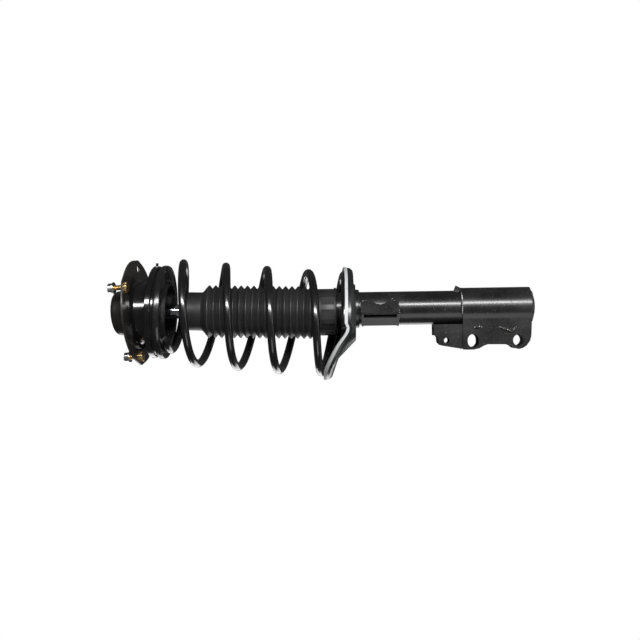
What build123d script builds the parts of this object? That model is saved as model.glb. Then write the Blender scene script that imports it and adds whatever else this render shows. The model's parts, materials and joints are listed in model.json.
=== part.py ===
from build123d import *
import math
import os

os.makedirs("parts", exist_ok=True)

# Front suspension strut, upright, in millimetres.
# +Z runs up the damper rod towards the top mount.
# The origin is the centre of the circle of three studs, on the mount plate's upper face.
# The mount plate and everything fixed to it tip 9 degrees off level, near side up.
# Heights below are measured from a level 5.5 mm over that origin, and everything is raised to match at the end.
# -X is the outboard side, where the knuckle bracket's ears stand out.

# Top mount
STUD_R = 4.0
STUD_CIRCLE_R = 68.0
STUD_ANGLES = (-57.0, 63.0, 183.0)
STUD_TIP_Z = 24.4
THREAD_R = 3.6
PLATE_DROP = 5.5
PLATE_LEAN_X = 0.0526
PLATE_LEAN_Y = 0.148
PLATE_R = 79.0
PLATE_T = 3.0
EAR_ANGLE = 9.0
EAR_HOLE_AT = 67.0
EAR_HOLE_R = 6.0
DOME_R = 33.5
DOME_Z = 33.3
DRUM_R = 46.5
DRUM_FLOOR_Z = -27.0

# Steering bearing
BALL_R = 2.4
BALL_CIRCLE_R = 36.0
BALL_Z = -33.5
BALL_COUNT = 24

# Upper spring seat, leaning with the spring
SEAT_Z = -30.5
SEAT_LEAN_X = 0.055
SEAT_LEAN_Y = 0.07

# Coil spring: right-handed, on an axis that leans outboard going down
WIRE_R = 6.0
COIL_R = 75.5
PIGTAIL_R = 58.0
COIL_PITCH = 62.6
COIL_TOP_Z = -60.0
AXIS_TOP_Z = -56.0
AXIS_LEAN_X = 0.096
AXIS_LOW_Z = -285.0
END_COIL_R = 73.8
COIL_START = 0.375
COIL_END = 5.27

# Lower spring seat
RIM_R = 84.6
RIM_T = 3.0
SEAT_BASE_Z = -339.5
DISH_R = 42.0
DISH_CX = -5.9

# Damper
ROD_R = 11.0
ROD_SHOULDER_Z = -20.0
TUBE_R = 25.5
TUBE_WALL = 2.5
TUBE_TOP_Z = -276.5
TUBE_BOTTOM_Z = -596.0
PRESSURE_R = 16.0

# Dust boot, whose axis leans a little outboard going down
BOOT_TOP_Z = -83.0
BOOT_BOTTOM_Z = -276.0
BOOT_SHIFT = -5.0
CUFF_R = 29.3
BOOT_PEAK_R = 40.3
BOOT_VALLEY_R = 35.4
BOOT_FOLDS = 17
COLLAR_SHIFT = -4.5
COLLAR_R = 35.6

# Knuckle bracket
WRAP_R = 29.6
WRAP_T = 4.0
EAR_IN_Y = 20.0
LINER_IN_Y = 16.5
WRAP_TOP_Z = -500.5
WRAP_LOW_Z = -604.0
BOLT_R = 8.6
LOWER_BOLT = (-51.0, -584.0)
CAMBER_BOLT = (-51.0, -516.0)
CAMBER_SLOT_L = 20.2
SMALL_HOLE = (-50.0, -476.3)
SMALL_HOLE_R = 4.25


def spun(points, about=None):
    """A closed (radius, height) outline turned about the vertical axis."""
    face = make_face(Plane.XZ * Polyline(*points, close=True))
    solid = revolve(face, Axis.Z)
    return solid if about is None else about * solid


def tube_of(inner, outer, low, high):
    """A plain ring between two radii and two heights."""
    return spun([(inner, low), (outer, low), (outer, high), (inner, high)])


def at(radius, degrees, z=0.0):
    """A point on a circle about the vertical axis."""
    a = math.radians(degrees)
    return (radius * math.cos(a), radius * math.sin(a), z)


def hexagon(across_flats, low, high, hole_r):
    """A hexagonal nut blank with a round hole."""
    flat = RegularPolygon(across_flats / math.sqrt(3), 6) - Circle(hole_r)
    return extrude(Plane.XY.offset(low) * flat, high - low)


def smooth(u):
    u = min(max(u, 0.0), 1.0)
    return u * u * (3 - 2 * u)


def seat_plane(z):
    """The leaning plane of the upper spring seat, at height z on the rod's axis."""
    return Plane(origin=(0, 0, z), x_dir=(1, 0, -SEAT_LEAN_X), z_dir=(SEAT_LEAN_X, SEAT_LEAN_Y, 1))


def axis_point(z):
    """How far outboard the spring's axis is at height z; its end coil sits square in the lower seat."""
    return -AXIS_LEAN_X * (AXIS_TOP_Z - max(z, AXIS_LOW_Z))


def coil_rate(turn):
    """The part of the full pitch at which the wire descends, closing up at both ends."""
    if turn < 3:
        return smooth((turn - 0.45) / 0.7)
    return 1 - 0.5 * smooth((turn - 4.5) / 0.5)


def wire_points(steps_per_turn=16):
    """Points along the wire's centreline, from its upper end down to its lower end."""
    count = round((COIL_END - COIL_START) * steps_per_turn)
    fine = 8
    points = []
    z = COIL_TOP_Z
    step = (COIL_END - COIL_START) / count
    for i in range(count + 1):
        turn = COIL_START + i * step
        points.append((turn, z))
        for k in range(fine):
            z -= COIL_PITCH * coil_rate(turn + (k + 0.5) * step / fine) * step / fine
    return [(turn, z) for turn, z in points]


def wire_radius(turn):
    if turn < 3:
        return PIGTAIL_R + (COIL_R - PIGTAIL_R) * smooth((turn - 0.5) / 0.5)
    return COIL_R + (END_COIL_R - COIL_R) * smooth((turn - 4.2) / 0.5)


def wire_place(turn, z):
    """The wire's centre at one turn: its coils lean with the seat above and the spring's axis below."""
    a = -2 * math.pi * turn
    r = wire_radius(turn)
    dx = r * math.cos(a)
    dy = r * math.sin(a)
    k = smooth((turn - 0.5) / 1.5)
    lean = SEAT_LEAN_X + (AXIS_LEAN_X - SEAT_LEAN_X) * k
    dip = 4.4 * smooth((turn - 3.95) / 0.25) * (1 - smooth((turn - 4.3) / 0.4))
    return (axis_point(z) + dx, dy, z - lean * dx - SEAT_LEAN_Y * (1 - k) * dy - dip)


WIRE = [wire_place(turn, z) for turn, z in wire_points()]
TURNS = [turn for turn, z in wire_points()]


def wire_z_at(turn):
    """The wire's centre height at one turn."""
    i = min(int((turn - COIL_START) / (TURNS[1] - TURNS[0])), len(TURNS) - 2)
    u = (turn - TURNS[i]) / (TURNS[i + 1] - TURNS[i])
    return WIRE[i][2] + (WIRE[i + 1][2] - WIRE[i][2]) * u


# The rim's height past the near side, where the ramp steps up to meet the wire and leaves it at 150 degrees.
RAMP = ((12, -321.5), (21, -314.0), (30, -306.5), (45, -298.0), (60, -292.8), (90, -291.5), (120, -293.5))


def rim_z(degrees):
    """The lower seat's rim height, at an angle counted from the near side towards outboard."""
    degrees = degrees % 360
    if degrees >= 150:
        return wire_z_at(4.25 + degrees / 360) - 1.5
    known = [(0, rim_z(359.999))] + list(RAMP) + [(150, rim_z(150)), (180, rim_z(180))]
    before = [(-30, rim_z(330))] + known
    for i in range(1, len(before) - 2):
        a0, z0 = before[i]
        a1, z1 = before[i + 1]
        if degrees <= a1:
            m0 = (z1 - before[i - 1][1]) / (a1 - before[i - 1][0])
            m1 = (before[i + 2][1] - z0) / (before[i + 2][0] - a0)
            u = (degrees - a0) / (a1 - a0)
            h = a1 - a0
            return ((2 * u**3 - 3 * u**2 + 1) * z0 + (u**3 - 2 * u**2 + u) * h * m0
                    + (-2 * u**3 + 3 * u**2) * z1 + (u**3 - u**2) * h * m1)
    return known[-1][1]


SEAT_CX = axis_point(AXIS_LOW_Z)


def dish_reach(a):
    """How far the dish's wall stands from the trough's centre, along the direction a."""
    gap = DISH_CX - SEAT_CX
    along = gap * math.cos(a)
    return along + math.sqrt(DISH_R**2 - gap**2 + along**2)


def ramp_ring(section):
    """A ring that follows the lower seat's ramp. section gives its (radius, height) corners for a rim height and a reach."""
    thirds = []
    for start in (0, 120, 240):
        wires = []
        for i in range(9):
            degrees = start + i * 15
            a = math.radians(-90 - degrees)
            points = []
            for r, height in section(rim_z(degrees), dish_reach(a)):
                points.append(Vector(SEAT_CX + r * math.cos(a), r * math.sin(a), height))
            wires.append(Wire.make_polygon(points, close=True))
        thirds.append(Solid.make_loft(wires, ruled=False))
    return thirds[0] + thirds[1] + thirds[2]


def trough(rim, reach):
    """The seat's pressing: a rim, a trough under the wire, and a wall that slopes down to the dish."""
    fall = rim - 11.0 - SEAT_BASE_Z
    knee = reach + 0.75 * fall
    low = rim - 11.0 - 0.27 * fall
    return [(RIM_R, rim), (RIM_R, rim - 7.0), (RIM_R - 3.4, rim - 11.0), (knee, low), (reach, SEAT_BASE_Z),
            (reach - 4.0, SEAT_BASE_Z), (knee - 3.2, low + 2.6), (75.5, rim - 8.0), (RIM_R - RIM_T, rim - 5.0),
            (RIM_R - RIM_T, rim)]


def pad(rim, reach):
    """The seat's insulator: a pad under the wire that hooks over the rim."""
    corners = [(68.0, -7.3), (68.0, -5.7), (75.6, -5.7), (80.2, -3.4), (80.2, 2.0), (86.0, 2.0), (86.0, -2.6),
               (84.7, -2.6), (84.7, 0.1), (81.5, 0.1), (81.5, -4.9), (75.4, -7.3)]
    return [(r, rim + height) for r, height in corners]


parts = {}

# Mount plate: a rounded plate with three stud lobes and a locating ear. A stepped dome over the rod nut fills its middle.
tilt_plane = Plane(origin=(0, 0, -PLATE_DROP), x_dir=(1, 0, PLATE_LEAN_X), z_dir=(-PLATE_LEAN_X, PLATE_LEAN_Y, 1))
TILT = tilt_plane.location
outline = [Circle(PLATE_R).edge()]
for angle in STUD_ANGLES:
    outline.append((Pos(*at(STUD_CIRCLE_R, angle)[:2]) * Circle(13.5)).edge())
outline.append((Pos(*at(EAR_HOLE_AT, EAR_ANGLE)[:2]) * Circle(13.5)).edge())
plate = extrude(Plane.XY.offset(-PLATE_T) * make_hull(outline), PLATE_T)
plate -= Cylinder(41.0, 10)
for angle in STUD_ANGLES:
    plate -= Pos(*at(STUD_CIRCLE_R, angle)) * Cylinder(STUD_R + 0.6, 20)
plate -= Pos(*at(EAR_HOLE_AT, EAR_ANGLE)) * Cylinder(EAR_HOLE_R, 20)
plate -= Pos(-46, -45, 0) * Cylinder(3.2, 20)
parts["mount_plate"] = TILT * plate
parts["mount_dome"] = TILT * spun([
    (41, -PLATE_T), (41, 0), (40.5, 0), (38.6, 2.5), (38.2, 14), (36.4, 16.5), (DOME_R + 0.6, 17.5),
    (DOME_R, 27), (DOME_R - 1.8, 30.8), (DOME_R - 5, DOME_Z), (19, DOME_Z), (19, DOME_Z - 2.5),
    (DOME_R - 5.8, DOME_Z - 2.5), (DOME_R - 3.6, 29), (DOME_R - 2.2, 26), (DOME_R - 2, 15.6), (35.6, 13), (35.8, 0.5),
    (38.2, -PLATE_T)])

# Drum: a deep-drawn cup that holds the rubber. Its floor is level, and its flange is welded under the tipped plate.
above_plate = TILT * (Pos(0, 0, 50 - PLATE_T) * Box(300, 300, 100))
drum = spun([
    (DRUM_R, 12), (DRUM_R, -23), (DRUM_R - 4, DRUM_FLOOR_Z), (27, DRUM_FLOOR_Z), (27, DRUM_FLOOR_Z + 2.5),
    (DRUM_R - 5, DRUM_FLOOR_Z + 2.5), (DRUM_R - 2.5, -22), (DRUM_R - 2.5, 12)]) - above_plate
drum += TILT * spun([(56.5, -PLATE_T), (56.5, -5.5), (49.5, -5.5), (45.4, -9), (45.4, -PLATE_T)])
parts["mount_drum"] = drum

# Rubber, the sleeve bonded in it and the disc on the sleeve.
sleeve = tube_of(7.1, 12.0, -20.0, 6.0)
disc = spun([(11.9, -15), (29, -15), (33, -11), (33, -8.5), (28, -12), (11.9, -12)])
inner = sleeve + disc
parts["mount_sleeve"] = inner
rubber = spun([(12.05, -19.5), (22, -19.5), (26, DRUM_FLOOR_Z + 2.6), (41.2, DRUM_FLOOR_Z + 2.6), (43.9, -21.9),
               (43.9, 12), (12.05, 12)])
rubber -= Pos(0, 0, -0.1) * above_plate + drum
rubber += spun([(12.05, -12), (33, -12), (33, 5), (29, 8.5), (20, 5), (12.05, 3)])
parts["mount_rubber"] = rubber - inner - tube_of(11.9, 12.1, -21, 7)

# Three press-in studs with splined heads, and their flange nuts.
studs = []
nuts = []
for angle in STUD_ANGLES:
    place = TILT * Pos(*at(STUD_CIRCLE_R, angle))
    stud = Pos(0, 0, (13.9 - 3.2) / 2) * Cylinder(STUD_R, 13.9 + 3.2)
    stud += Pos(0, 0, (13.9 + STUD_TIP_Z) / 2) * Cylinder(THREAD_R, STUD_TIP_Z - 13.9)
    stud += Pos(0, 0, -1.6) * Cylinder(STUD_R + 0.6, 3.2)
    stud += Pos(0, 0, -PLATE_T - 1.7) * Cylinder(8.2, 3.4)
    studs.append(place * stud)
    nut = hexagon(13.0, 15.2, 23.7, THREAD_R + 0.02)
    nut &= Pos(0, 0, 19.2) * Cylinder(7.2, 12)
    nut += tube_of(THREAD_R + 0.02, 8.7, 14.2, 16.2)
    nuts.append(place * nut)
parts["mount_studs"] = studs
parts["stud_nuts"] = nuts

# Rod nut, its washer and the dust cap over them.
parts["rod_washer"] = tube_of(7.1, 17.0, 6.0, 8.5)
rod_nut = hexagon(21.0, 8.5, 18.0, 7.02)
rod_nut &= Pos(0, 0, 13) * Cylinder(11.6, 20)
parts["rod_nut"] = rod_nut
parts["dust_cap"] = TILT * spun([(0, 32.5), (16.4, 32.5), (16.8, 28.8), (18.6, 28.8), (18.8, 33.4), (22, 33.4),
                                 (21.5, 34.9), (17, 35.7), (0, 36.1)])

# Steering bearing: races, balls, cage and seal.
groove = Pos(0, 0, BALL_Z) * Torus(BALL_CIRCLE_R, BALL_R + 0.05)
parts["bearing_upper_race"] = spun([
    (27.5, -27.1), (45.2, -27.1), (45.2, -36.0), (43.6, -36.0), (43.6, -31.9), (30, -31.9), (30, -29.7),
    (27.5, -29.7)]) - groove
parts["bearing_lower_race"] = spun([
    (25, -38.5), (41.4, -38.5), (41.4, -35.1), (31.5, -35.1), (28, -33.5), (26.8, -30.7), (25, -30.7)]) - groove
cage = tube_of(BALL_CIRCLE_R - 1.5, BALL_CIRCLE_R + 3.2, BALL_Z - 1.0, BALL_Z + 1.0)
balls = []
for i in range(BALL_COUNT):
    spot = Pos(*at(BALL_CIRCLE_R, i * 360 / BALL_COUNT, BALL_Z))
    balls.append(spot * Sphere(BALL_R))
    cage -= spot * Sphere(BALL_R + 0.1)
parts["bearing_balls"] = balls
parts["bearing_cage"] = cage
parts["bearing_seal"] = spun([(42.0, -38.5), (43.2, -38.5), (43.2, -36.7), (42.0, -35.4)])

# Upper spring seat: a moulded disc that leans with the spring, with a level pocket for the bearing.
frame = seat_plane(SEAT_Z)
seat = spun([(24, -12), (66.5, -12), (66.5, -9.6), (69, -9), (70, -7.6), (70, -1), (69, 0), (66, 0), (64, -2.6),
             (50, -2.6), (48, -1.5), (24, -1.5)], frame)
seat += tube_of(22.0, 50.0, -45.5, -36.5)
seat -= Pos(0, 0, -18.5) * Cylinder(46.0, 40.1)
seat -= Pos(0, 0, -60) * Cylinder(22.0, 60)
seat += frame * Pos(71.5, 0, -2.5) * Box(6, 5, 3)
parts["upper_spring_seat"] = seat

# Upper insulator: a rubber ring under the seat, with a skirt outside and a boss inside the end coil.
insulator = spun([(53, -21.6), (53, -12.05), (66.4, -12.05), (67, -13.2), (69, -12.8), (71, -14), (71.5, -16),
                  (71.5, -20), (70.4, -22.3), (68, -23), (66.2, -21.6)], frame)
insulator += spun([(42, -12.05), (42, -26), (45.5, -27), (48.5, -24), (50.5, -21.6), (53.2, -21.6), (53.2, -12.05)],
                  frame)
insulator -= tube_of(10, 50.1, -45.6, -28)
parts["upper_insulator"] = insulator

# Coil spring.
path = Spline(*WIRE)
start = Plane(origin=path @ 0, z_dir=path % 0)
spring = sweep(start * Circle(WIRE_R), path=path, is_frenet=False)
parts["coil_spring"] = spring

# Lower spring seat: a stamped trough that follows the wire on a ramp, on a base disc with a collar.
base = Pos(DISH_CX, 0, SEAT_BASE_Z + 1.5) * Cylinder(DISH_R - 1.5, 3.0)
base += Pos(0, 0, SEAT_BASE_Z + 4.0) * Cylinder(28.6, 8.0)
base -= Pos(0, 0, SEAT_BASE_Z) * Cylinder(TUBE_R, 60)
parts["lower_spring_seat"] = ramp_ring(trough) + base

parts["lower_insulator"] = ramp_ring(pad)

parts["seat_support_collar"] = spun([
    (TUBE_R, -345.0), (28.0, -345.0), (29.2, -343.8), (29.2, SEAT_BASE_Z), (TUBE_R, SEAT_BASE_Z)])

# Dust boot: a bellows below a smooth cuff, on its own leaning axis.
lean = math.degrees(math.atan2(-BOOT_SHIFT, BOOT_TOP_Z - BOOT_BOTTOM_Z))
boot_frame = Pos(0, 0, BOOT_TOP_Z) * Rot(0, lean, 0)
BOOT_T = 1.2
outer = [(CUFF_R - 3.0, 0.0), (CUFF_R, -2.0), (CUFF_R, -23.0), (BOOT_VALLEY_R, -28.0)]
inner = [(CUFF_R - 3.0, -BOOT_T), (CUFF_R - BOOT_T, -2.4), (CUFF_R - BOOT_T, -23.4), (BOOT_VALLEY_R - BOOT_T, -28.8)]
fold = (BOOT_TOP_Z - BOOT_BOTTOM_Z - 28.0) / BOOT_FOLDS
for i in range(BOOT_FOLDS):
    z = -28.0 - fold * i
    outer += [(BOOT_PEAK_R - 0.9, z - 0.34 * fold), (BOOT_PEAK_R, z - 0.5 * fold),
              (BOOT_PEAK_R - 0.9, z - 0.66 * fold), (BOOT_VALLEY_R, z - fold)]
    inner += [(BOOT_PEAK_R - 0.9 - BOOT_T, z - 0.38 * fold), (BOOT_PEAK_R - BOOT_T * 1.2, z - 0.5 * fold),
              (BOOT_PEAK_R - 0.9 - BOOT_T, z - 0.62 * fold), (BOOT_VALLEY_R - BOOT_T, z - fold)]
parts["dust_boot"] = spun(outer + inner[::-1], boot_frame)

# Boot collar: a ring on the tube's top with rows of shallow pockets.
collar = spun([(31.7, -310.5), (36.4, -310.5), (37.2, -309), (37.2, -307.4), (COLLAR_R, -306.6), (COLLAR_R, -278.6),
               (34.6, -277.0), (31.7, -277.0)], Pos(COLLAR_SHIFT, 0, 0))
POCKETS = 10
for i in range(POCKETS):
    pocket = Box(5.0, 14.5, 20.0)
    collar -= Pos(COLLAR_SHIFT, 0, -297.5) * Rot(0, 0, -96 + i * 360 / POCKETS) * Pos(COLLAR_R + 0.6, 0, 0) * pocket
parts["boot_collar"] = collar

# Damper: rod, piston and what is on them.
rod = Pos(0, 0, (ROD_SHOULDER_Z - 330.0) / 2) * Cylinder(ROD_R, 330.0 + ROD_SHOULDER_Z)
rod += Pos(0, 0, 0) * Cylinder(7.0, 42.0)
rod += Pos(0, 0, -350.0) * Cylinder(6.0, 42.0)
parts["piston_rod"] = rod
parts["rebound_stop"] = tube_of(ROD_R, 15.2, -319.0, -308.5)
piston = tube_of(6.02, 15.4, -352.0, -333.0) - tube_of(15.0, 16.0, -348.0, -337.0)
parts["piston"] = piston
parts["piston_band"] = tube_of(15.0, PRESSURE_R - 0.05, -348.0, -337.0)
parts["valve_discs"] = [tube_of(6.02, 13.0, -333.0, -330.0), tube_of(6.02, 13.0, -354.5, -352.0)]
piston_nut = hexagon(17.0, -364.0, -354.5, 6.02)
parts["piston_nut"] = piston_nut & (Pos(0, 0, -360) * Cylinder(9.4, 20))

# Bump stop: a stepped foam spring gripped on the rod inside the boot's cuff.
parts["bump_stop"] = spun([
    (ROD_R, -84.5), (26.0, -84.5), (26.0, -101.0), (23.0, -104.0), (25.5, -108.0), (24.5, -116.0), (21.0, -119.0),
    (23.0, -123.0), (21.0, -131.0), (18.0, -134.0), (18.5, -138.0), (16.0, -141.0), (ROD_R, -141.0)])

# Strut tube with its rolled top edge, the cup that closes its foot and the cap on its top.
parts["strut_tube"] = spun([
    (TUBE_R - TUBE_WALL, TUBE_BOTTOM_Z), (TUBE_R, TUBE_BOTTOM_Z), (TUBE_R, -278.0), (TUBE_R - 1.2, TUBE_TOP_Z), (19.0, TUBE_TOP_Z),
    (19.0, TUBE_TOP_Z - TUBE_WALL), (TUBE_R - TUBE_WALL, TUBE_TOP_Z - TUBE_WALL)])
parts["base_cup"] = spun([
    (0, -606.6), (13.0, -605.2), (20.4, -599.0), (20.4, -590.0), (22.9, -590.0), (22.9, -596.05),
    (TUBE_R, -596.05), (TUBE_R, -605.0), (23.4, -607.6), (13.0, -610.6), (0, -611.6)])
parts["tube_cap"] = spun([
    (12.5, -276.4), (25.0, -276.4), (TUBE_R + 0.05, -277.4), (TUBE_R + 0.05, -290.0), (27.0, -290.0), (27.0, -276.0),
    (25.6, -273.6), (12.5, -273.6)])
parts["pressure_tube"] = tube_of(PRESSURE_R, 17.2, -589.0, -303.4)
parts["rod_guide"] = spun([
    (12.6, -303.3), (12.6, -285.6), (22.95, -285.6), (22.95, -298.0), (19.0, -303.3)])
parts["guide_bush"] = tube_of(ROD_R + 0.05, 12.55, -302.0, -287.0)
parts["oil_seal"] = spun([
    (ROD_R + 0.04, -285.5), (22.95, -285.5), (22.95, -279.1), (16.0, -279.1), (ROD_R + 0.04, -280.6)])
base_valve = spun([(0, -589.05), (17.2, -589.05), (20.3, -591.0), (20.3, -595.4), (14.0, -599.8), (0, -600.8)])
for i in range(4):
    base_valve -= Pos(*at(12.0, 45 + 90 * i, -594)) * Cylinder(1.6, 30)
parts["base_valve"] = base_valve

# Knuckle bracket: a sheet wrapped round the tube's foot, whose two flat ears stand outboard.
EAR_OUT_Y = EAR_IN_Y + WRAP_T
sheet = Circle(WRAP_R) + Pos(-40, 0) * Rectangle(80, 2 * EAR_OUT_Y)
sheet -= Circle(TUBE_R + 0.05) + Pos(-40, 0) * Rectangle(80, 2 * EAR_IN_Y)
bracket = extrude(Plane.XY.offset(WRAP_LOW_Z) * sheet, WRAP_TOP_Z - WRAP_LOW_Z)
side = [(40, WRAP_LOW_Z), (-25, WRAP_LOW_Z), (-44, -603), (-52, -601), (-59.5, -595.5), (-63, -589.5),
        (-64.4, -584), (-63, -578.5), (-59.5, -574.2), (-57, -568), (-56.6, -537.5), (-58.4, -532), (-62.3, -525),
        (-64.3, -516), (-64.3, -506), (-64, WRAP_TOP_Z), (40, WRAP_TOP_Z)]
bracket &= extrude(Plane.XZ * make_face(Polyline(*side, close=True)), 60, both=True)

# Reinforcement: a channel inside the ears that runs on above them and carries the small hole.
channel = Pos(-44.8, 0, -527.5) * Box(38.4, 2 * EAR_IN_Y - 0.2, 145.0)
channel -= Pos(-63.3, 0, -527.5) * Box(68.0, 2 * LINER_IN_Y, 150.0)
side = [(-25.6, -598), (-52, -597.5), (-58.8, -593.8), (-62.3, -589), (-63.6, -584), (-62.4, -578.3), (-58.8, -573.4),
        (-56.4, -567.6), (-56, -537), (-57.8, -531), (-61.6, -524.5), (-63.6, -515), (-63.6, -506), (-61.4, -489),
        (-57.5, -467.5), (-53, -463.4), (-45.6, -462.8), (-43, -461), (-42, -456.8), (-25.6, -456.8)]
channel &= extrude(Plane.XZ * make_face(Polyline(*side, close=True)), 60, both=True)
channel -= Pos(-31, 0, -549) * Rot(0, 90, 0) * Cylinder(9.0, 20)

bolt_hole = Pos(LOWER_BOLT[0], 0, LOWER_BOLT[1]) * Rot(90, 0, 0) * Cylinder(BOLT_R, 120)
slot = Pos(CAMBER_BOLT[0], 0, CAMBER_BOLT[1]) * extrude(Plane.XZ * SlotOverall(CAMBER_SLOT_L, 2 * BOLT_R), 60, both=True)
bracket -= bolt_hole
bracket -= slot
channel -= bolt_hole
channel -= slot
channel -= Pos(SMALL_HOLE[0], 0, SMALL_HOLE[1]) * Rot(90, 0, 0) * Cylinder(SMALL_HOLE_R, 120)
tab = make_face(Polyline((25.6, -489.5), (33.3, -492.5), (29.4, WRAP_TOP_Z), (29.4, -504), (25.6, -504), close=True))
bracket += extrude(Plane.XZ * tab, 2.5, both=True)
parts["knuckle_bracket"] = bracket - Cylinder(TUBE_R + 0.05, 1300)
parts["bracket_channel"] = channel

# Weld beads: one round the top of the wrapped sheet, and two runs on the face of each ear.
top_bead = Pos(0, 0, WRAP_TOP_Z + 1.2) * Torus(TUBE_R + 1.6, 2.0)
top_bead -= Cylinder(TUBE_R, 1300)
top_bead -= Pos(-40, 0, WRAP_TOP_Z) * Box(80, 120, 20)
beads = [top_bead - bracket]
for side_y in (-EAR_OUT_Y, EAR_OUT_Y):
    for x0, z0, x1, z1 in ((-31.0, -517.0, -30.5, -530.0), (-31.0, -556.0, -37.0, -573.0)):
        length = math.dist((x0, z0), (x1, z1))
        run = Rot(0, math.degrees(math.atan2(x1 - x0, z1 - z0)), 0) * Pos(0, 0, length / 2) * Cylinder(1.6, length)
        run += Sphere(1.6)
        run += Pos(x1 - x0, 0, z1 - z0) * Sphere(1.6)
        beads.append(Pos(x0, side_y, z0) * run - bracket)
parts["weld_beads"] = beads

# Brake-hose bracket: a bent sheet on the tube with an open notch for the hose.
HOSE_LOW = -404.0
HOSE_HIGH = -348.0
flange = make_face(Polyline((8, -24.4), (10, -37), (-8, -38.5), (-13, -36), (-24, -31), (-27, -25), (-20, -12),
                            (-8, -20), close=True))
hose = extrude(Plane.XY.offset(HOSE_LOW) * flange, 3.0)
hose += extrude(Plane.XY.offset(HOSE_HIGH - 3.0) * flange, 3.0)
middle = (HOSE_LOW + HOSE_HIGH) / 2
strap = Pos(0.6, -37.3, middle) * Rot(0, 0, -4.8) * Box(20, 3.0, HOSE_HIGH - HOSE_LOW)
strap -= Pos(22, -38, middle) * Rot(90, 0, 0) * Cylinder(16.0, 20)
hose += strap
hose += Pos(-19.5, -31.4, middle) * Rot(0, 0, -24.5) * Box(13, 3.0, HOSE_HIGH - HOSE_LOW)
hose -= Cylinder(TUBE_R, 1300)
parts["brake_hose_bracket"] = hose

for node, shape in parts.items():
    solids = shape if isinstance(shape, list) else [shape]
    pieces = []
    for piece in solids:
        pieces += list(piece.solids())
    whole = pieces[0] if len(pieces) == 1 else Compound(children=pieces)
    whole = Pos(0, 0, PLATE_DROP) * whole
    whole.label = node
    export_step(whole, "parts/" + node + ".step")
    box = whole.bounding_box()
    print(node, len(pieces), round(whole.volume), [round(v, 1) for v in (*box.min, *box.max)])
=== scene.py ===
# %% [markdown]
# # A front suspension strut
# A strut is a damper, a coil spring and a rubber top mount that carry one front corner of a car.
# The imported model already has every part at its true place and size. This lesson gives those parts
# their finishes, and rebuilds the ones whose look needs more shape: the coil, the bellows boot,
# the studs, the welds and the pressed sheets with their rounded edges.

import json
import math

import bpy
import numpy as np
from mathutils import Matrix, Vector

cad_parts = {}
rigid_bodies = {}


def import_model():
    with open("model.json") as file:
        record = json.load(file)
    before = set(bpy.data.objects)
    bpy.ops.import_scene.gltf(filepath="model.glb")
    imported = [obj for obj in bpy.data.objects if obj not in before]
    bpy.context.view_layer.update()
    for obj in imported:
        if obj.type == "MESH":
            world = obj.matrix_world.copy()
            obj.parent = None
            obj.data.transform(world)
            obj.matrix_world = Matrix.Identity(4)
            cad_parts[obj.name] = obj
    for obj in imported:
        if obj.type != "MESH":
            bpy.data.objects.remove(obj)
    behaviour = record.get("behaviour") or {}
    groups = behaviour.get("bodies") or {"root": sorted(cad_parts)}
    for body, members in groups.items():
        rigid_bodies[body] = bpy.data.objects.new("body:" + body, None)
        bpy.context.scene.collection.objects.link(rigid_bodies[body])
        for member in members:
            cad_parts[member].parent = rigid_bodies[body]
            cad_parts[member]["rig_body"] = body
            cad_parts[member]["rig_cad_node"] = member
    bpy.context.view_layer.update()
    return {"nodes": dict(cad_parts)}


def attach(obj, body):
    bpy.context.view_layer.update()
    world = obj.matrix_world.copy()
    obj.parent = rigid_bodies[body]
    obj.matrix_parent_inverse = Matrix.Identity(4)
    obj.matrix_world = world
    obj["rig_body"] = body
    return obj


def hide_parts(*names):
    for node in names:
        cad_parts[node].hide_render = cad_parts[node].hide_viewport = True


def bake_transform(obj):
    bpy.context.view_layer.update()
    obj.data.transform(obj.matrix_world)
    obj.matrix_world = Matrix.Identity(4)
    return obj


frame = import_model()
MM = 0.001
print("parts in the model:", len(frame["nodes"]))

# %% [markdown]
# ## Arithmetic on shader sockets
# A finish is a network of small nodes. Wiring it by hand is slow to read, so one class wraps a socket
# and lets Python's own operators add the Math nodes. Every other node comes from a single method
# that takes the node's type, its settings and what goes into it.


# %% A socket with arithmetic, and a finish that holds the network
class Signal:
    """A number that varies over a surface."""

    def __init__(self, finish, socket):
        self.finish = finish
        self.socket = socket

    def combine(self, operation, first, second):
        return self.finish.node("ShaderNodeMath", {"operation": operation}, {0: first, 1: second})

    def __add__(self, other):
        return self.combine("ADD", self, other)

    def __mul__(self, other):
        return self.combine("MULTIPLY", self, other)

    def __sub__(self, other):
        return self.combine("SUBTRACT", self, other)

    def __rsub__(self, other):
        return self.combine("SUBTRACT", other, self)

    __radd__ = __add__
    __rmul__ = __mul__


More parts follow.
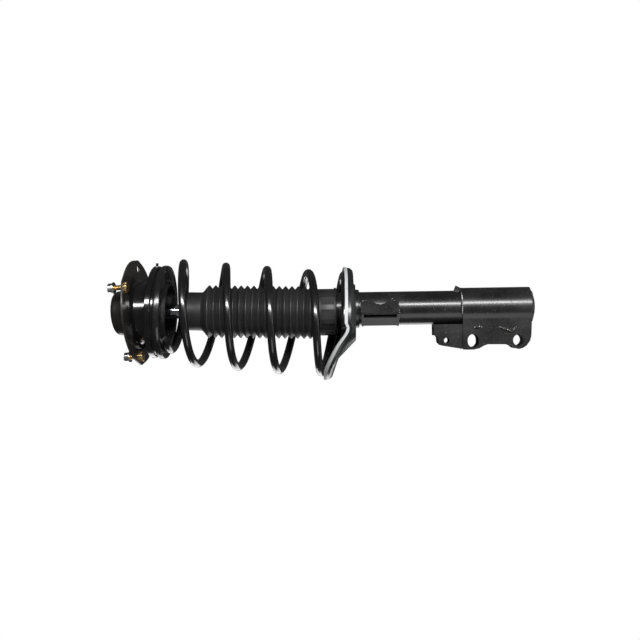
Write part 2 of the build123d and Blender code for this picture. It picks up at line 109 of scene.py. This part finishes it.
class Finish:
    """One material under construction."""

    def __init__(self, name, **constants):
        self.material = bpy.data.materials.new(name)
        self.material.use_nodes = True
        self.tree = self.material.node_tree
        self.shader = self.tree.nodes["Principled BSDF"]
        for socket, value in constants.items():
            self.shader.inputs[socket.replace("_", " ")].default_value = value
        self.place = self.node("ShaderNodeTexCoord", {}, {}, "Object")

    def node(self, kind, settings, values, output=0):
        made = self.tree.nodes.new(kind)
        for setting, value in settings.items():
            setattr(made, setting, value)
        for socket, value in values.items():
            if isinstance(value, Signal):
                self.tree.links.new(value.socket, made.inputs[socket])
            else:
                made.inputs[socket].default_value = value
        return Signal(self, made.outputs[output])

    def noise(self, scale, detail=3.0, stretch=(1, 1, 1)):
        where = self.node("ShaderNodeMapping", {}, {"Vector": self.place, "Scale": stretch})
        return self.node("ShaderNodeTexNoise", {}, {"Vector": where, "Scale": scale, "Detail": detail})

    def within(self, signal, low, high, start=0.0, end=1.0):
        return self.node("ShaderNodeMapRange", {},
                         {"Value": signal, "From Min": low, "From Max": high,
                          "To Min": start, "To Max": end})

    def colours(self, mask, first, second):
        return self.node("ShaderNodeMix", {"data_type": "RGBA"},
                         {0: mask, 6: (*first, 1), 7: (*second, 1)}, 2)

    def bump(self, height, depth, strength=1.0):
        return self.node("ShaderNodeBump", {}, {"Strength": strength, "Distance": depth, "Height": height})

    def feed(self, **signals):
        for socket, signal in signals.items():
            self.tree.links.new(signal.socket, self.shader.inputs[socket.replace("_", " ")])
        return self.material


# %% [markdown]
# ## Painted and moulded blacks
# Nearly everything on a strut is black, and what tells one black from another is its gloss, its grain
# and its dust. One recipe covers them all: a slow drift in shade, a scatter of scuffs that are
# duller and paler than the rest, and the fine relief of sprayed or moulded stuff.


# %% One recipe for blacks
def black(name, shade, dusty, dull, sheen=0.0, relief=2e-5, grain=900, scuffs=0.6, coat_dull=0.08):
    """dull is the roughness of clean and of scuffed surface; sheen is the weight of a clear coat."""
    finish = Finish(name, Coat_Weight=sheen, Coat_Roughness=coat_dull, IOR=1.5)
    drift = finish.within(finish.noise(22, 4), 0.35, 0.7)
    scuff = finish.within(finish.noise(330, 6), 0.60, 0.70) * scuffs
    fine = finish.noise(grain, 2)
    tint = finish.within(drift * 0.5 + scuff, 0.0, 1.3)
    rough = finish.within(drift * 0.4 + scuff * 0.8 + fine * 0.25, 0.1, 1.1, dull[0], dull[1])
    return finish.feed(Base_Color=finish.colours(tint, shade, dusty), Roughness=rough,
                       Normal=finish.bump(fine + scuff * 0.4, relief))


PLATE_BLACK = black("plate_black", (0.010, 0.0095, 0.009), (0.04, 0.036, 0.031), (0.26, 0.42), 0.15)
GLOSS_BLACK = black("gloss_black", (0.004, 0.004, 0.004), (0.014, 0.014, 0.014), (0.14, 0.26), 0.5,
                    1.2e-5, 500)
SPRING_BLACK = black("spring_black", (0.004, 0.004, 0.0045), (0.012, 0.012, 0.013), (0.2, 0.3), 0.5,
                     2.5e-5, 420)
SATIN_BLACK = black("satin_black", (0.006, 0.006, 0.0065), (0.035, 0.034, 0.034), (0.26, 0.42), 0.15,
                    3e-5, 600, 0.8)
GREEN_BLACK = black("green_black", (0.006, 0.0085, 0.0075), (0.018, 0.022, 0.02), (0.28, 0.42), 0.2,
                    3e-5, 500)
BOOT_BLACK = black("boot_black", (0.013, 0.013, 0.0135), (0.028, 0.028, 0.029), (0.42, 0.55), 0.0, 3e-5, 600)
PLASTIC_BLACK = black("plastic_black", (0.012, 0.012, 0.0125), (0.03, 0.03, 0.03), (0.36, 0.5), 0.0,
                      4e-5, 800)
RUBBER_BLACK = black("rubber_black", (0.010, 0.010, 0.010), (0.03, 0.029, 0.028), (0.5, 0.7), 0.0, 6e-5, 600)
RUBBER_GLOSS = black("rubber_gloss", (0.006, 0.006, 0.006), (0.02, 0.02, 0.021), (0.2, 0.32), 0.3, 3e-5, 500)
RUBBER_GREY = black("rubber_grey", (0.42, 0.42, 0.43), (0.28, 0.28, 0.28), (0.5, 0.7), 0.0, 6e-5, 500, 0.9)
FOAM_YELLOW = black("foam_yellow", (0.62, 0.47, 0.2), (0.45, 0.33, 0.13), (0.75, 0.9), 0.0, 2.5e-4, 420, 0.9)
print("blacks ready")

# %% [markdown]
# ## Bare and plated metals
# Ground steel shows lines left by the wheel, zinc plate is cloudy, and hard chrome is a mirror with
# faint rings. All three are a metallic surface whose roughness follows a stretched noise: stretching
# it thousands of times round the axis turns blobs into lines.


# %% One recipe for metals
def metal(name, bright, dark, dull, lines=(1, 1, 1), scale=120, relief=6e-6):
    """lines stretches the noise: a large last number draws rings round an upright bar."""
    finish = Finish(name, Metallic=1.0)
    cloud = finish.within(finish.noise(60, 5), 0.3, 0.72)
    streak = finish.noise(scale, 3, lines)
    fleck = finish.within(finish.noise(700, 4), 0.62, 0.74)
    rough = finish.within(cloud * 0.5 + streak * 0.5, 0.2, 0.8, dull[0], dull[1]) + fleck * 0.12
    tint = finish.within(cloud * 0.7 + fleck * 0.5, 0.0, 1.2)
    return finish.feed(Base_Color=finish.colours(tint, bright, dark), Roughness=rough,
                       Normal=finish.bump(streak, relief))


RINGS = (1, 1, 60)
BARE_STEEL = metal("bare_steel", (0.56, 0.56, 0.57), (0.38, 0.38, 0.39), (0.22, 0.38), RINGS)
SPRING_STEEL = metal("spring_steel", (0.42, 0.44, 0.5), (0.25, 0.27, 0.33), (0.25, 0.4), RINGS)
ZINC = metal("zinc_plate", (0.78, 0.79, 0.80), (0.52, 0.52, 0.53), (0.2, 0.42), scale=260)
YELLOW_ZINC = metal("yellow_zinc_plate", (0.80, 0.58, 0.27), (0.50, 0.29, 0.14), (0.24, 0.44), scale=260)
CHROME = metal("hard_chrome", (0.86, 0.88, 0.92), (0.78, 0.80, 0.85), (0.05, 0.12), RINGS, 400, 1e-6)
SINTERED_IRON = metal("sintered_iron", (0.3, 0.295, 0.29), (0.18, 0.175, 0.17), (0.5, 0.7),
                      scale=900, relief=5e-5)
WELD_STEEL = metal("weld_steel", (0.22, 0.215, 0.21), (0.03, 0.03, 0.03), (0.25, 0.5),
                   scale=500, relief=1.2e-4)
BRONZE = metal("bronze_lining", (0.62, 0.43, 0.24), (0.42, 0.27, 0.14), (0.35, 0.5), RINGS)
print("metals ready")

# %% [markdown]
# ## Starting a mesh by hand
# A pressed or turned part starts as an outline. Here a plane is merged down to one point, which is
# then pulled from corner to corner. Turning such an outline about an upright axis makes a lathe part,
# which is the quickest honest way to a cup, a sleeve or a bellows.


# %% Outline, lathe and finishing helpers
def clear_selection():
    if bpy.context.mode != "OBJECT":
        bpy.ops.object.mode_set(mode="OBJECT")
    bpy.ops.object.select_all(action="DESELECT")


def outline(name, points):
    """A chain of edges through the points, left in edit mode with everything selected."""
    clear_selection()
    bpy.ops.mesh.primitive_plane_add(size=0.001)
    piece = bpy.context.object
    piece.name = name
    piece.data.name = name
    bpy.ops.object.mode_set(mode="EDIT")
    bpy.ops.mesh.merge(type="CENTER")
    at = Vector((0, 0, 0))
    bpy.ops.transform.translate(value=Vector(points[0]) - at)
    at = Vector(points[0])
    for point in points[1:]:
        step = Vector(point) - at
        bpy.ops.mesh.extrude_vertices_move(TRANSFORM_OT_translate={"value": step})
        at = Vector(point)
    bpy.ops.mesh.select_all(action="SELECT")
    return piece


def smooth(piece, degrees=35):
    clear_selection()
    piece.select_set(True)
    bpy.context.view_layer.objects.active = piece
    bpy.ops.object.shade_smooth_by_angle(angle=math.radians(degrees))
    return piece


def lathe(name, profile, steps=96, place=None, degrees=35):
    """A (radius, height) outline in millimetres, turned once about the upright axis.

    A closed outline repeats its start.
    """
    piece = outline(name, [(r * MM, 0, z * MM) for r, z in profile])
    bpy.ops.mesh.spin(steps=steps, angle=math.tau, center=(0, 0, 0), axis=(0, 0, 1))
    bpy.ops.mesh.select_all(action="SELECT")
    bpy.ops.mesh.remove_doubles(threshold=2e-6)
    bpy.ops.mesh.normals_make_consistent(inside=False)
    clear_selection()
    settle(piece, place)
    return smooth(piece, degrees)


def settle(piece, place=None):
    """Puts a piece at its place and moves that place into its mesh."""
    if place is not None:
        piece.data.transform(place)
        piece.data.update()


def finish_with(piece, material, body, replaced=()):
    """Gives a piece its finish, the body it moves with and the parts it stands for."""
    piece.data.materials.clear()
    piece.data.materials.append(material)
    if body:
        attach(piece, body)
    if replaced:
        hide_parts(*replaced)
    return piece


def rounded(node, name, width, segments=2, degrees=32, clean=1.0):
    """A copy of a part whose sharp edges are rolled over, as on a pressing or a moulding."""
    clear_selection()
    source = frame["nodes"][node]
    source.select_set(True)
    bpy.context.view_layer.objects.active = source
    bpy.ops.object.duplicate()
    piece = bpy.context.object
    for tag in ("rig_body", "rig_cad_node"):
        del piece[tag]
    piece.parent = None
    piece.name = name
    piece.data.name = name
    bpy.ops.mesh.customdata_custom_splitnormals_clear()
    bpy.ops.object.mode_set(mode="EDIT")
    bpy.ops.mesh.select_all(action="SELECT")
    bpy.ops.mesh.remove_doubles(threshold=5e-6)
    bpy.ops.mesh.dissolve_limited(angle_limit=math.radians(clean))
    bpy.ops.object.mode_set(mode="OBJECT")
    smooth(piece, degrees)
    roll = piece.modifiers.new("rolled_edges", "BEVEL")
    roll.width = width * MM
    roll.segments = segments
    roll.limit_method = "ANGLE"
    roll.angle_limit = math.radians(degrees)
    roll.harden_normals = True
    bpy.ops.object.modifier_apply(modifier=roll.name)
    print(name, "has", len(piece.data.polygons), "faces")
    return piece


def tube_along(name, points, radius, sizes=None, around=6, caps=True):
    """A round bar through the points, in metres. sizes are shares of radius, one for each point."""
    curve = bpy.data.curves.new(name, "CURVE")
    curve.dimensions = "3D"
    curve.bevel_depth = radius
    curve.bevel_resolution = around
    curve.use_fill_caps = caps
    spline = curve.splines.new("POLY")
    spline.points.add(len(points) - 1)
    for i, point in enumerate(points):
        spline.points[i].co = (*point, 1)
        spline.points[i].radius = 1.0 if sizes is None else sizes[i]
    piece = bpy.data.objects.new(name, curve)
    bpy.context.scene.collection.objects.link(piece)
    clear_selection()
    piece.select_set(True)
    bpy.context.view_layer.objects.active = piece
    bpy.ops.object.convert(target="MESH")
    piece = bpy.context.object
    piece.name = name
    return smooth(piece, 50)


# %% [markdown]
# ## Inside and hidden parts
# The damper's inside and the bearing already have the right shape, so they keep their meshes. Each
# only gets the finish of its own stuff in the slot that it already has.

# %% Finishes for the parts that stay as they are
STAYS = {
    "mount_sleeve": BARE_STEEL, "mount_rubber": RUBBER_BLACK, "rod_washer": ZINC, "rod_nut": ZINC,
    "bearing_upper_race": PLASTIC_BLACK, "bearing_lower_race": BARE_STEEL, "bearing_cage": PLASTIC_BLACK,
    "bearing_balls": BARE_STEEL, "bearing_seal": RUBBER_BLACK, "piston_rod": CHROME,
    "rebound_stop": BARE_STEEL,
    "piston": SINTERED_IRON, "piston_band": BRONZE, "valve_discs": SPRING_STEEL, "piston_nut": ZINC,
    "bump_stop": FOAM_YELLOW, "base_cup": SATIN_BLACK, "tube_cap": PLASTIC_BLACK, "pressure_tube": BARE_STEEL,
    "rod_guide": SINTERED_IRON, "guide_bush": BRONZE, "oil_seal": RUBBER_BLACK, "base_valve": SINTERED_IRON,
    "seat_support_collar": SATIN_BLACK,
}
for node, material in STAYS.items():
    frame["nodes"][node].data.materials.clear()
    frame["nodes"][node].data.materials.append(material)
print("parts that keep their shape:", len(STAYS))

# %% [markdown]
# ## Pressed sheets and mouldings
# A pressing never has a knife edge: the die rolls every corner over, and that roll is what catches
# the light. A copy of the part is merged into one skin, its flat facets are dissolved, and a bevel
# rounds what is left sharp.

# %% Roll the edges of the pressings and mouldings
PRESSINGS = (
    ("mount_plate", "tower_plate", 0.7, 3, PLATE_BLACK, "black_plate"),
    ("mount_drum", "rubber_drum", 0.8, 3, GLOSS_BLACK, "gloss_black"),
    ("upper_spring_seat", "upper_seat_disc", 0.7, 3, GLOSS_BLACK, "gloss_black"),
    ("upper_insulator", "upper_seat_pad", 0.9, 3, RUBBER_GLOSS, "rubber"),
    ("lower_spring_seat", "lower_seat_pressing", 0.8, 2, GREEN_BLACK, "green_black"),
    ("lower_insulator", "lower_seat_pad", 0.5, 2, RUBBER_GREY, "grey_rubber"),
    ("boot_collar", "boot_collar_ring", 0.4, 2, BOOT_BLACK, "boot_plastic"),
    ("knuckle_bracket", "knuckle_clamp", 0.9, 3, SATIN_BLACK, "satin_black"),
    ("bracket_channel", "clamp_liner", 0.8, 3, SATIN_BLACK, "satin_black"),
    ("brake_hose_bracket", "hose_clip_sheet", 0.6, 3, SATIN_BLACK, "satin_black"),
    ("strut_tube", "outer_tube", 0.4, 2, SATIN_BLACK, "satin_black"),
    ("stud_nuts", "flange_nuts", 0.35, 2, ZINC, "zinc"),
    ("dust_cap", "cap_moulding", 0.4, 2, PLASTIC_BLACK, "black_plastic"),
)
for node, name, width, segments, material, slot in PRESSINGS:
    piece = rounded(node, name, width, segments)
    finish_with(piece, material, frame["nodes"][node]["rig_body"], [node])

# %% [markdown]
# ## The stepped dome
# A drawn cup over the rod's nut, tipped with the plate. Its steps are all radii, so it is turned on
# the lathe from an outline with the radii in it. The plate leans two ways at once, near side up and a
# little inboard, so its frame is built from the direction that stands square on it.

# %% Turn the dome
LEAN_X, LEAN_Y = 0.0526, 0.148
plate_x = Vector((1, 0, LEAN_X)).normalized()
plate_z = Vector((-LEAN_X, LEAN_Y, 1)).normalized()
PLATE_TIP = Matrix((plate_x, plate_z.cross(plate_x), plate_z)).transposed().to_4x4()
dome = lathe("rod_dome", [
    (41, -3), (41, -0.6), (40.3, 0), (39.2, 0.6), (38.7, 2.4), (38.4, 13), (38.0, 14.6), (37.2, 15.8),
    (35.8, 16.6),
    (34.8, 17.1), (34.1, 18.2), (33.9, 25.6), (33.6, 28.2), (32.4, 30.8), (30.8, 32.4), (28.6, 33.3),
    (19.6, 33.3),
    (19, 32.7), (19, 30.8), (27.6, 30.8), (29.8, 29.6), (31, 27.2), (31.5, 17), (33, 15), (35.2, 13.6),
    (35.8, 11.5),
    (36, 2), (37, -1.6), (38.2, -3), (41, -3)], 128, PLATE_TIP, 50)
finish_with(dome, PLATE_BLACK, "top_mount", ["mount_dome"])
print("dome faces:", len(dome.data.polygons))

# %% [markdown]
# ## Studs with a thread and a splined head
# Each stud is pressed through the plate, and splines on its head bite into the sheet. The thread is a
# real helix: one V is swept by a Screw modifier that climbs a pitch every turn. The studs are the same,
# so one is modelled and copied to the three places.

# %% Model one stud
STUD_CIRCLE_R = 0.068
STUD_ANGLES = (-57, 63, 183)
PITCH = 1.25
THREAD_LOW = 3.2
THREAD_TURNS = 16
stud = lathe("stud_core", [(0, -6.4), (7.0, -6.4), (7.8, -5.9), (7.8, -3.2), (4.7, -3.0), (4.6, -0.3),
                           (4.0, 0.2),
                           (4.0, 3.0), (3.4, 3.4), (3.4, 23.2), (2.8, 24.3), (0, 24.3)], 32)
thread = outline("stud_thread", [(3.38 * MM, 0, THREAD_LOW * MM),
                                 (3.98 * MM, 0, (THREAD_LOW + PITCH / 2) * MM),
                                 (3.38 * MM, 0, (THREAD_LOW + PITCH) * MM)])
clear_selection()
thread.select_set(True)
bpy.context.view_layer.objects.active = thread
screw = thread.modifiers.new("helix", "SCREW")
screw.angle = math.tau
screw.screw_offset = PITCH * MM
screw.iterations = THREAD_TURNS
screw.steps = 20
screw.render_steps = 20
screw.use_merge_vertices = True
bpy.ops.object.modifier_apply(modifier=screw.name)
ridges = 18
ridge_at = [(0.0082 if i % 2 else 0.0073, math.tau * i / (2 * ridges)) for i in range(2 * ridges + 1)]
spline_head = outline("stud_spline", [(r * math.cos(a), r * math.sin(a), -0.0059) for r, a in ridge_at])
bpy.ops.mesh.remove_doubles(threshold=1e-6)
bpy.ops.mesh.edge_face_add()
bpy.ops.mesh.extrude_region_move(TRANSFORM_OT_translate={"value": (0, 0, 0.0026)})
bpy.ops.mesh.select_all(action="SELECT")
bpy.ops.mesh.normals_make_consistent(inside=False)
clear_selection()
for part in (thread, spline_head, stud):
    part.select_set(True)
bpy.context.view_layer.objects.active = stud
bpy.ops.object.join()
smooth(stud, 30)

# %% Copy it to the three places
stud_mesh = stud.data.copy()
studs = []
for i, angle in enumerate(STUD_ANGLES):
    copy = stud
    if i:
        copy = bpy.data.objects.new("mount_stud", stud_mesh.copy())
        bpy.context.scene.collection.objects.link(copy)
    copy.name = f"mount_stud_{i + 1}"
    turn = Matrix.Rotation(math.radians(angle), 4, "Z")
    settle(copy, PLATE_TIP @ turn @ Matrix.Translation((STUD_CIRCLE_R, 0, 0)))
    finish_with(copy, YELLOW_ZINC, "top_mount", ["mount_studs"])
    studs.append(copy)
print("studs:", [s.name for s in studs])

# %% [markdown]
# ## The coil spring
# A 12 mm wire wound right-handed round an axis that leans outboard. Both its ends close up, and the
# first turn runs in on a smaller circle. The same rules that shaped the part are followed here with
# more points, and a round bar is drawn through them. Heights are worked out from a level 5.5 mm over the
# origin, so LIFT is added at the end. Near its foot the wire dips, to lie down in the ramp of the seat.


# %% Work out the wire's line
def ease(u):
    u = min(max(u, 0.0), 1.0)
    return u * u * (3 - 2 * u)


LIFT = 5.5
PIGTAIL_R, COIL_R, END_COIL_R = 58.0, 75.5, 73.8
SEAT_LEAN_X, SEAT_LEAN_Y, AXIS_LEAN_X = 0.055, 0.07, 0.096
AXIS_TOP_Z, AXIS_LOW_Z = -56.0, -285.0
COIL_TOP_Z, COIL_PITCH, WIRE_R = -60.0, 62.6, 6.0
SLICES = 8


def drop_rate(turn):
    """The share of the full pitch by which the wire falls."""
    if turn < 3:
        return ease((turn - 0.45) / 0.7)
    return 1 - 0.5 * ease((turn - 4.5) / 0.5)


def coil_radius(turn):
    if turn < 3:
        return PIGTAIL_R + (COIL_R - PIGTAIL_R) * ease((turn - 0.5) / 0.5)
    return COIL_R + (END_COIL_R - COIL_R) * ease((turn - 4.2) / 0.5)


def coil_point(turn, z):
    a = -math.tau * turn
    r = coil_radius(turn)
    square = ease((turn - 0.5) / 1.5)
    lean = SEAT_LEAN_X + (AXIS_LEAN_X - SEAT_LEAN_X) * square
    axis = -AXIS_LEAN_X * (AXIS_TOP_Z - max(z, AXIS_LOW_Z))
    x, y = r * math.cos(a), r * math.sin(a)
    dip = 4.4 * ease((turn - 3.95) / 0.25) * (1 - ease((turn - 4.3) / 0.4))
    return Vector((axis + x, y, z - lean * x - SEAT_LEAN_Y * (1 - square) * y - dip + LIFT)) * MM


COIL_START, COIL_END = 0.375, 5.27
STEPS = 280
turns = [COIL_START + (COIL_END - COIL_START) * i / STEPS for i in range(STEPS + 1)]
step = turns[1] - turns[0]
height = COIL_TOP_Z
wire_line = []
for i, turn in enumerate(turns):
    wire_line.append(coil_point(turn, height))
    for k in range(SLICES):
        height -= COIL_PITCH * drop_rate(turn + (k + 0.5) * step / SLICES) * step / SLICES
print("wire from", [round(v, 3) for v in wire_line[0]], "to", [round(v, 3) for v in wire_line[-1]])

# %% [markdown]
# When the damper closes, the upper end of the coil stays with the upper seat and the lower end rises
# with the strut. A blend would weigh each point by its height, which would flatten the round wire. Here
# the bar is only drawn, and each of its corners is matched to the nearest point of the wire's line; no
# weights are set from that.

# %% Draw the bar and match its corners to the wire's line
ends = [0.9 if i in (0, STEPS) else 1.0 for i in range(STEPS + 1)]
spring = tube_along("coil_wire", wire_line, WIRE_R * MM, ends, 6)
finish_with(spring, SPRING_BLACK, None, ["coil_spring"])
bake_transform(spring)


line = np.array([list(p) for p in wire_line])
corners = np.array([list(v.co) for v in spring.data.vertices])
nearest = np.array([int(((line - c) ** 2).sum(1).argmin()) for c in corners])
print("coil corners:", len(corners))

# %% [markdown]
# ## The bellows boot
# A blown plastic sleeve keeps dust off the rod: a plain cuff, then seventeen sharp folds that sag a
# little to one side. It is a lathe part with a thin wall. On the real strut, as the damper closes, the cuff
# stays up, the last fold rises with the tube and the folds between share the travel; here the boot is one
# fixed shape that nothing folds.

# %% Turn the boot
CUFF_R, PEAK_R, VALLEY_R = 29.3, 40.3, 35.4
BOOT_TOP, BOOT_FOOT, FOLDS = -77.5, -270.5, 17
fold = (BOOT_TOP - BOOT_FOOT - 28.0) / FOLDS
skin = [(25.9, 0), (27.6, -0.2), (28.8, -0.9), (CUFF_R, -2.2), (CUFF_R, -21.5), (CUFF_R + 0.5, -23.2),
        (VALLEY_R - 1.4, -27.4), (VALLEY_R, -28.0)]
for i in range(FOLDS):
    z = -28.0 - fold * i
    skin += [(VALLEY_R + 0.5, z - 0.07 * fold), (PEAK_R - 1.0, z - 0.36 * fold),
             (PEAK_R - 0.2, z - 0.44 * fold),
             (PEAK_R, z - 0.5 * fold), (PEAK_R - 0.2, z - 0.56 * fold), (PEAK_R - 1.0, z - 0.64 * fold),
             (VALLEY_R + 0.5, z - 0.93 * fold), (VALLEY_R, z - fold)]
lean = math.atan2(5.0, BOOT_TOP - BOOT_FOOT)
boot = lathe("bellows_boot", skin, 96, None, 60)
wall = boot.modifiers.new("wall", "SOLIDIFY")
wall.thickness = 1.1 * MM
wall.offset = -1
bpy.ops.object.modifier_apply(modifier=wall.name)
corners = np.array([v.co.z for v in boot.data.vertices])
settle(boot, Matrix.Translation((0, 0, BOOT_TOP * MM)) @ Matrix.Rotation(lean, 4, "Y"))
smooth(boot, 60)
finish_with(boot, BOOT_BLACK, None, ["dust_boot"])
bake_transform(boot)
print("boot faces:", len(boot.data.polygons))

# %% [markdown]
# ## Weld beads
# A bead is laid as a row of overlapping puddles, which leave ripples across it. A round bar whose
# thickness rises and falls along its line gives them. One bead runs round the top of the clamp, and
# short runs tie each ear to the liner inside it.


# %% Lay the beads
def bead(name, points, radius, ripple=1.6, lump=0.13):
    """points in millimetres; the bar is thin at its ends and swells once every ripple millimetres."""
    path = [Vector(points[0])]
    for a, b in zip(points, points[1:]):
        count = max(2, round((Vector(b) - Vector(a)).length / (ripple / 5)))
        path += [Vector(a).lerp(Vector(b), (k + 1) / count) for k in range(count)]
    sizes = []
    run = 0.0
    for i, p in enumerate(path):
        run += (p - path[i - 1]).length if i else 0
        end = ease(min(i, len(path) - 1 - i) / 6)
        sizes.append((0.35 + 0.65 * end) * (1 + lump * math.cos(math.tau * run / ripple)))
    return tube_along(name, [p * MM for p in path], radius * MM, sizes, 4)


beads = []
ring = [(26.9 * math.cos(a), 26.9 * math.sin(a), -494.4) for a in np.linspace(-2.05, 2.05, 60)]
beads.append(bead("clamp_top_bead", ring, 2.1, 2.6))
for side, y in (("near", -24.2), ("far", 24.2)):
    beads.append(bead(f"ear_bead_upper_{side}",
                      [(-31, y, -511.5), (-30, y, -517.5), (-30.5, y, -524.5)], 2.7, 4.2, 0.3))
    beads.append(bead(f"ear_bead_lower_{side}",
                      [(-30.5, y, -549.5), (-35, y, -561.5), (-37.5, y, -567.5), (-30.5, y, -575.5)],
                      2.6, 4.4, 0.3))
for piece in beads:
    finish_with(piece, WELD_STEEL, "strut_body", ["weld_beads"])
print("beads:", len(beads))

# %% [markdown]
# The hose clip is sheared and tacked on, so its edges are rough: a sagging lip between two small ears,
# and a run of weld down each side. A thin black bar across the seat pad's edge is painted shade for a notch.


# %% Roughen the hose clip and paint the shade of the pad's notch
def on_tube(radius, line):
    """(X, Z) points in millimetres, laid on the near side of an upright cylinder."""
    return [(x, -math.sqrt(radius * radius - x * x), z) for x, z in line]


RUNS = (
    ("clip_lip", [(13, -349), (9, -352), (5.5, -357), (4.5, -369), (5.5, -381), (9, -386), (13, -389)],
     1.3, 5.0, 0.2),
    ("clip_weld_right", [(14, -389), (8, -394), (2, -398.5), (-8, -399.5), (-17, -399.5)], 1.7, 3.6, 0.3),
    ("clip_weld_left", [(12, -345), (5, -342.5), (-6, -342.5), (-16, -343)], 1.6, 3.6, 0.3),
)
for name, line, radius, ripple, lump in RUNS:
    piece = bead(name, on_tube(27.6, line), radius, ripple, lump)
    finish_with(piece, WELD_STEEL, "strut_body", ["brake_hose_bracket"])
# A black rubber bar laid across the pad's edge: painted shade where a notch shows dark.
notch_shade_bar = bead("pad_notch_shade_bar", [(-28.5, -86.0, -313.5), (-28, -86.0, -320.5)], 1.3, 9, 0.05)
finish_with(notch_shade_bar, RUBBER_BLACK, "strut_body", ["lower_insulator"])
print("rough edges:", len(RUNS))

# %% [markdown]
# ## The studio
# A pale floor far below, a white surround, one tall soft light that draws a band down every round part,
# two dim ones that open the shadows and a weak one behind that picks out the edges. The surround looks
# white but lights the part only a little, so the blacks stay black.


# %% Floor, surround and lights
clear_selection()
bpy.ops.mesh.primitive_circle_add(vertices=64, radius=0.5, fill_type="NGON", location=(0, 0, -0.95))
floor = bpy.context.object
floor.name = "studio_floor"
floor.data.transform(Matrix.Translation((0, 0, -0.95)))
floor.location = (0, 0, 0)
floor_finish = Finish("pale_floor", Roughness=0.7)
floor.data.materials.append(floor_finish.feed(
    Base_Color=floor_finish.colours(floor_finish.noise(8, 2), (0.86, 0.86, 0.86), (0.9, 0.9, 0.9))))

world = bpy.data.worlds.new("studio_surround")
bpy.context.scene.world = world
world.use_nodes = True
surround = world.node_tree
back = surround.nodes["Background"]
back.inputs["Color"].default_value = (1, 1, 1, 1)
glow = surround.nodes.new("ShaderNodeMapRange")
seen = surround.nodes.new("ShaderNodeLightPath")
surround.links.new(seen.outputs["Is Camera Ray"], glow.inputs["Value"])
glow.inputs["To Min"].default_value = 0.06
glow.inputs["To Max"].default_value = 1.0
surround.links.new(glow.outputs[0], back.inputs["Strength"])


def soft_light(name, place, aim, size, power):
    light = bpy.data.lights.new(name, "AREA")
    light.shape = "RECTANGLE"
    light.size, light.size_y = size
    light.energy = power
    lamp = bpy.data.objects.new(name, light)
    bpy.context.scene.collection.objects.link(lamp)
    lamp.location = place
    lamp.rotation_mode = "QUATERNION"
    lamp.rotation_quaternion = (Vector(aim) - Vector(place)).to_track_quat("-Z", "Y")
    return lamp


soft_light("key", (0.62, -1.3, -0.3), (0, 0, -0.3), (0.24, 1.9), 44)
soft_light("low_fill", (-1.3, -0.9, -0.5), (0, 0, -0.3), (0.9, 0.9), 4)
soft_light("foot_fill", (0.2, -0.7, -1.6), (0, 0, -0.2), (0.7, 0.7), 3)
soft_light("back_rim", (-0.9, 1.2, -0.3), (0, 0, -0.3), (0.8, 1.5), 9)

# %% [markdown]
# ## The camera
# The strut lies across the picture with its top mount at the left, so the camera looks along +Y with
# +X up. It stands 1.8 m away, is turned a degree towards the mount and rolled a little.

# %% Set the camera
turn, roll = math.radians(0.97), math.radians(0.85)
ahead = Vector((0, math.cos(turn), math.sin(turn)))
right = Vector((0, math.sin(turn), -math.cos(turn)))
up = Vector((1, 0, 0))
across = right * math.cos(roll) - up * math.sin(roll)
upward = up * math.cos(roll) + right * math.sin(roll)
camera = bpy.data.cameras.new("camera")
camera.lens = 36 * 1178 / 640
camera.sensor_width = 36
camera.clip_start, camera.clip_end = 0.05, 20
eye = bpy.data.objects.new("camera", camera)
bpy.context.scene.collection.objects.link(eye)
facing = Matrix((across, upward, -ahead)).transposed().to_4x4()
eye.matrix_world = Matrix.Translation((-0.0163, -1.8, -0.31)) @ facing
bpy.context.scene.camera = eye
bpy.context.scene.view_settings.view_transform = "Standard"
print("camera at", [round(v, 3) for v in eye.location])
